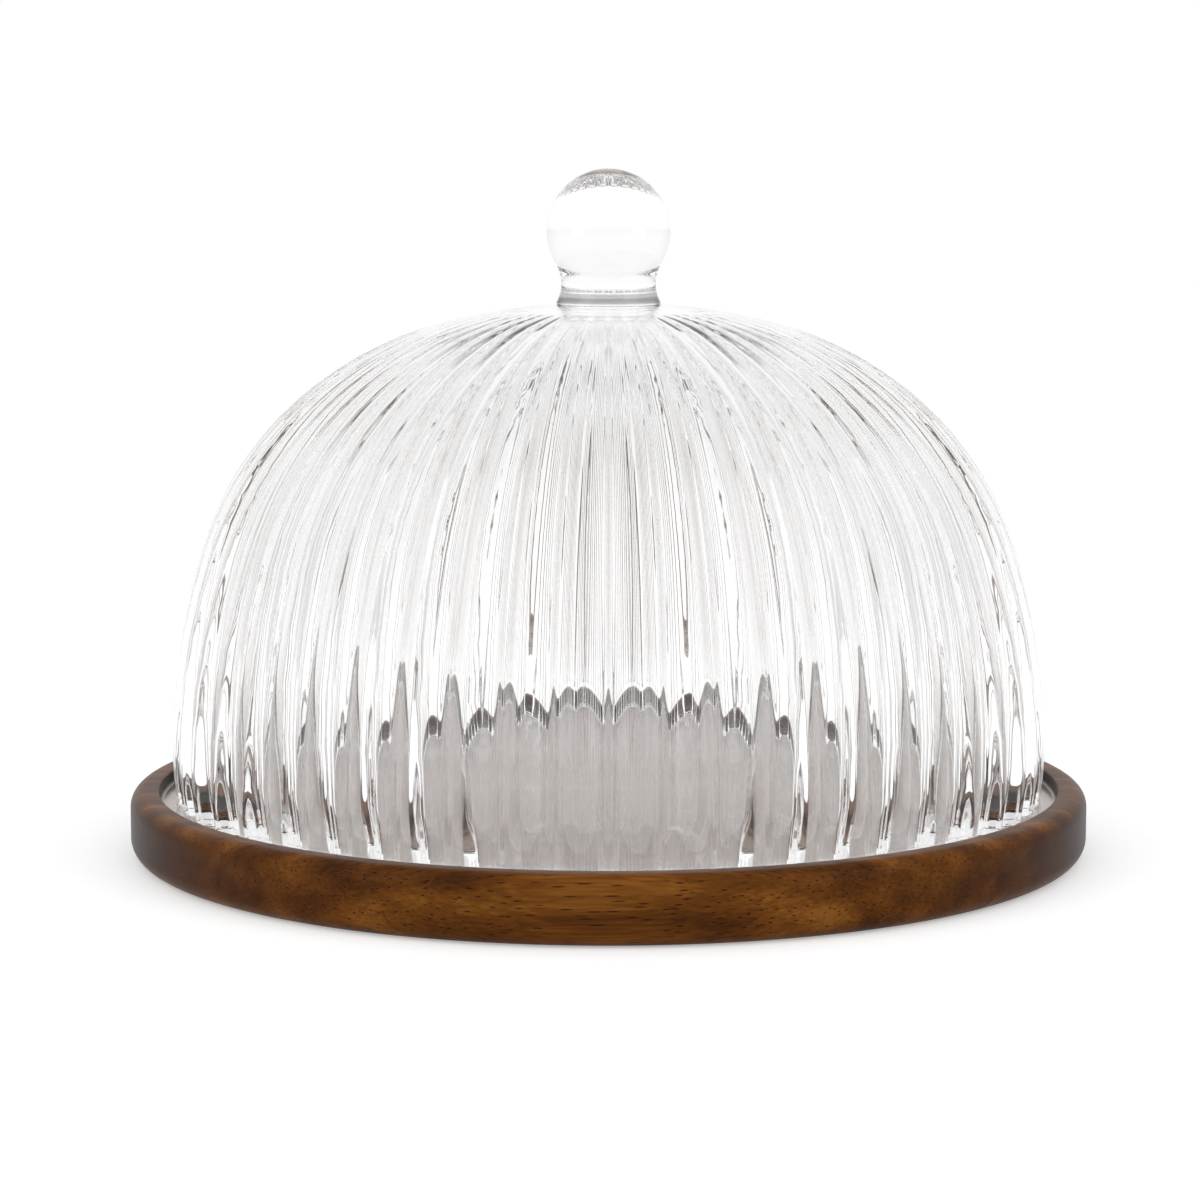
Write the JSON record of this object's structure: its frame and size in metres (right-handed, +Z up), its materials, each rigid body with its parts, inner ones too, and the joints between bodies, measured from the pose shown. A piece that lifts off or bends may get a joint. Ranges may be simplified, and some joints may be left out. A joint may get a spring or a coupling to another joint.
{
  "type": "cheese dome",
  "caption": "Clear fluted glass dome with a solid ball knob, lifting off a round edge-glued acacia board with a raised rim.",
  "frame": {"origin": "centre of the board's underside, on the surface it stands on", "axes": "+Z up through the knob, +X to the right along the wood grain, -Y to the front"},
  "size_m": [0.3, 0.3, 0.2126],
  "materials": {
    "acacia": "oiled, satin",
    "clear_glass": "clear, fire-polished"
  },
  "bodies": {
    "board": {"board_stave_1": "acacia", "board_stave_2": "acacia", "board_stave_3": "acacia", "board_stave_4": "acacia", "board_stave_5": "acacia", "board_stave_6": "acacia"},
    "dome": {"glass_dome": "clear_glass", "glass_knob": "clear_glass"}
  },
  "joints": [
    {"name": "dome_lift", "type": "slide", "parent": "board", "child": "dome", "axis": [0, 0, 1], "range_m": [0, 0.2]}
  ]
}
